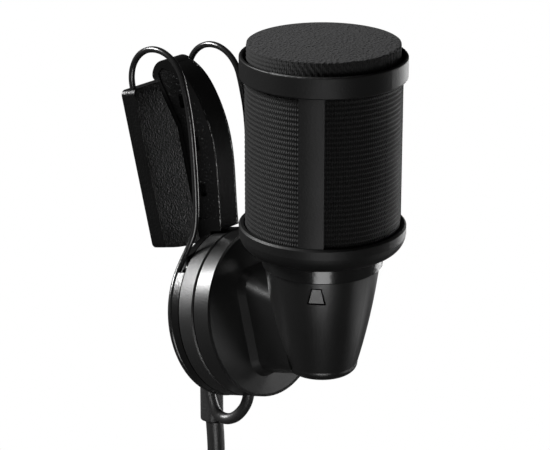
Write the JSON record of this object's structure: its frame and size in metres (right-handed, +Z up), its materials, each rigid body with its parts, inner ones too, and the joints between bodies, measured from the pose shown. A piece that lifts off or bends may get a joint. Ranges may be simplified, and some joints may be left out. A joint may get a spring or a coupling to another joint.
{
  "type": "lavalier microphone",
  "caption": "Small caged microphone with a knit windscreen, on a swivelling sprung clip for clothing, with a thin cable to a locking jack plug.",
  "frame": {"origin": "middle of the gap between the clip's arm and its jaw plate, where the cloth is held", "axes": "+Z up along the microphone, +X from the clip to the microphone, +Y across the clip"},
  "size_m": [0.0266, 0.015, 0.1106],
  "materials": {
    "cage_metal": "satin black paint on a metal cage",
    "moulded": "satin moulded black plastic",
    "gloss_band": "glossy black band",
    "mesh_steel": "fine steel mesh",
    "ribbed_fabric": "black knit with fine level ribs",
    "pad_fabric": "black fine-pored pad",
    "capsule_metal": "drawn metal can",
    "board": "green circuit board",
    "felt": "black felt",
    "cushion_rubber": "soft black rubber",
    "wire_sheath": "thin red wire sheath",
    "matte_disc": "finely blasted black",
    "bright_steel": "plain steel",
    "black_screw": "blackened steel",
    "gloss_clip": "glossy black with grained recessed sides",
    "grained_plate": "fine-grained black",
    "spring_wire": "glossy black spring wire",
    "cord_sheath": "satin black sheath",
    "cord_boot": "moulded black rubber",
    "tie_strap": "black woven hook strap",
    "plug_black": "black plated metal",
    "gold_contact": "gold plated",
    "insulator": "black insulator"
  },
  "bodies": {
    "clip": {"friction_disc": "matte_disc", "swivel_screw": "black_screw", "lock_nut": "bright_steel", "clip_base": "gloss_clip", "clip_spring": "spring_wire", "pigtail_lead": "cord_sheath", "cable_boot": "cord_boot", "cable": "cord_sheath", "cable_coil": "cord_sheath", "cable_tie": "tie_strap", "cable_tail": "cord_sheath", "plug_boot": "cord_boot", "plug_barrel": "plug_black", "plug_sleeve": "gold_contact", "plug_insulators": "insulator", "plug_ring": "gold_contact", "plug_tip": "gold_contact"},
    "head": {"cage": "cage_metal", "stem": "moulded", "neck_band": "gloss_band", "mesh_liner": "mesh_steel", "fabric_sleeve": "ribbed_fabric", "top_pad": "pad_fabric", "capsule": "capsule_metal", "capsule_board": "board", "capsule_felt": "felt", "capsule_cushion": "cushion_rubber", "capsule_wires": "wire_sheath", "holder_left_shell": "moulded", "holder_right_shell": "moulded", "lead_clamp": "moulded", "wave_washer": "bright_steel"},
    "jaw": {"jaw_plate": "grained_plate"},
    "plug_ring_body": {"locking_ring": "plug_black"}
  },
  "joints": [
    {"name": "head_swivel", "type": "hinge", "parent": "clip", "child": "head", "pos_m": [0.0062, 0, -0.01288], "axis": [0.9703, 0, 0.2419], "range_deg": [-60, 60], "deforming": ["pigtail_lead"]},
    {"name": "jaw_open", "type": "hinge", "parent": "clip", "child": "jaw", "pos_m": [-0.00245, 0, 0.0066], "axis": [0, 1, 0], "range_deg": [0, 14], "stiffness_Nm_per_rad": 0.02, "deforming": ["clip_spring"]},
    {"name": "locking_ring_turn", "type": "hinge", "parent": "clip", "child": "plug_ring_body", "pos_m": [0, -0.0016, -0.081], "axis": [0, 0, -1], "continuous": true}
  ]
}
